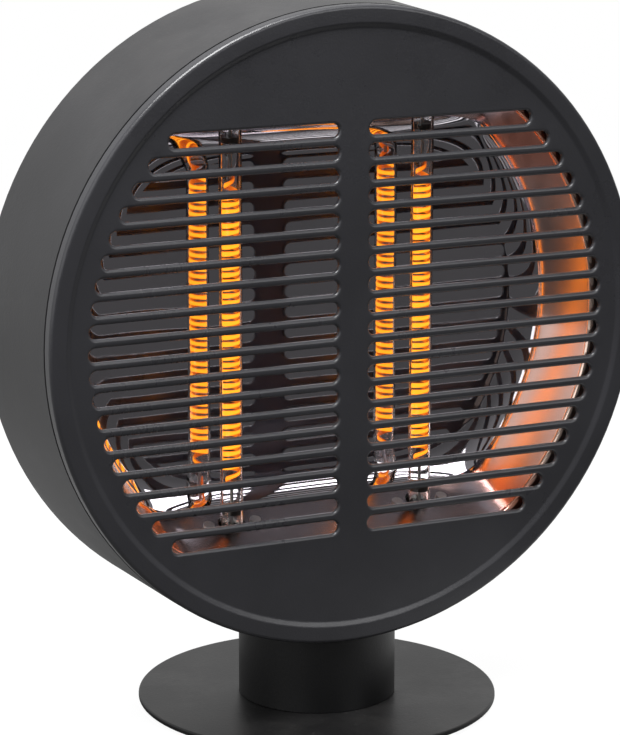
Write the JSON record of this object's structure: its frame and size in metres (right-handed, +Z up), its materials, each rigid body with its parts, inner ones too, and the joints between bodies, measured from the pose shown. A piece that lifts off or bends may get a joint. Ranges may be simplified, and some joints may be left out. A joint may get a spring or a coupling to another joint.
{
  "type": "patio heater",
  "caption": "Round electric infrared patio heater: drum-shaped head with a slotted front, mirror reflector and quartz tubes on a short round column and disc base.",
  "frame": {"origin": "centre of the base at floor level, under the rubber pads", "axes": "+Z up, the slotted front faces -Y, +X to the right seen from the front"},
  "size_m": [0.345, 0.196, 0.3881],
  "materials": {
    "black_coat": "fine-textured black powder coat",
    "mirror_sheet": "mirror polished",
    "zinc_steel": "zinc plated",
    "white_ceramic": "matt",
    "quartz": "clear",
    "glowing_ribbon": "glowing hot",
    "black_plastic": "satin",
    "black_rubber": "matt",
    "brass_contact": "satin"
  },
  "bodies": {
    "heater": {"base_plate": "black_coat", "column_tube": "black_coat", "drum_shell": "black_coat", "front_grille": "black_coat", "back_cover": "black_coat", "reflector_pan": "mirror_sheet", "base_screws": "zinc_steel", "column_foot": "zinc_steel", "column_head": "zinc_steel", "tip_switch_screws": "zinc_steel", "tip_spring": "zinc_steel", "drum_saddle": "zinc_steel", "saddle_screws": "zinc_steel", "tie_posts": "zinc_steel", "tie_screws": "zinc_steel", "cover_screws": "zinc_steel", "reflector_rails": "zinc_steel", "shield_spacers": "zinc_steel", "heat_shield": "zinc_steel", "shield_nuts": "zinc_steel", "lead_pins_left": "zinc_steel", "lead_pins_right": "zinc_steel", "tube_holder_top_left": "zinc_steel", "tube_holder_top_right": "zinc_steel", "tube_holder_bottom_left": "zinc_steel", "tube_holder_bottom_right": "zinc_steel", "holder_screws": "zinc_steel", "end_cap_top_left": "white_ceramic", "end_cap_top_right": "white_ceramic", "end_cap_bottom_left": "white_ceramic", "end_cap_bottom_right": "white_ceramic", "terminal_block": "white_ceramic", "quartz_tube_left": "quartz", "quartz_tube_right": "quartz", "filament_left": "glowing_ribbon", "filament_right": "glowing_ribbon", "tip_switch_body": "black_plastic", "lead_spacers_left": "black_plastic", "lead_spacers_right": "black_plastic", "thermal_cutout": "black_plastic", "switch_frame_left": "black_plastic", "switch_frame_right": "black_plastic", "cable_gland": "black_plastic", "gland_locknut": "black_plastic", "gland_cap": "black_plastic", "foot_pads": "black_rubber", "gland_seal": "black_rubber", "switch_tabs": "brass_contact"},
    "left_rocker": {"rocker_left": "black_plastic"},
    "right_rocker": {"rocker_right": "black_plastic"},
    "plunger": {"tip_plunger": "black_plastic"}
  },
  "joints": [
    {"name": "left_rocker_tilt", "type": "hinge", "parent": "heater", "child": "left_rocker", "pos_m": [-0.022, 0.04573, 0.0976], "axis": [1, 0, 0], "range_deg": [-20, 0]},
    {"name": "right_rocker_tilt", "type": "hinge", "parent": "heater", "child": "right_rocker", "pos_m": [0.022, 0.04573, 0.0976], "axis": [1, 0, 0], "range_deg": [-20, 0]},
    {"name": "tip_plunger_slide", "type": "slide", "parent": "heater", "child": "plunger", "axis": [0, 0, -1], "range_m": [0, 0.006], "stiffness_N_per_m": 80, "springref_m": 0.01, "deforming": ["tip_spring"]}
  ]
}
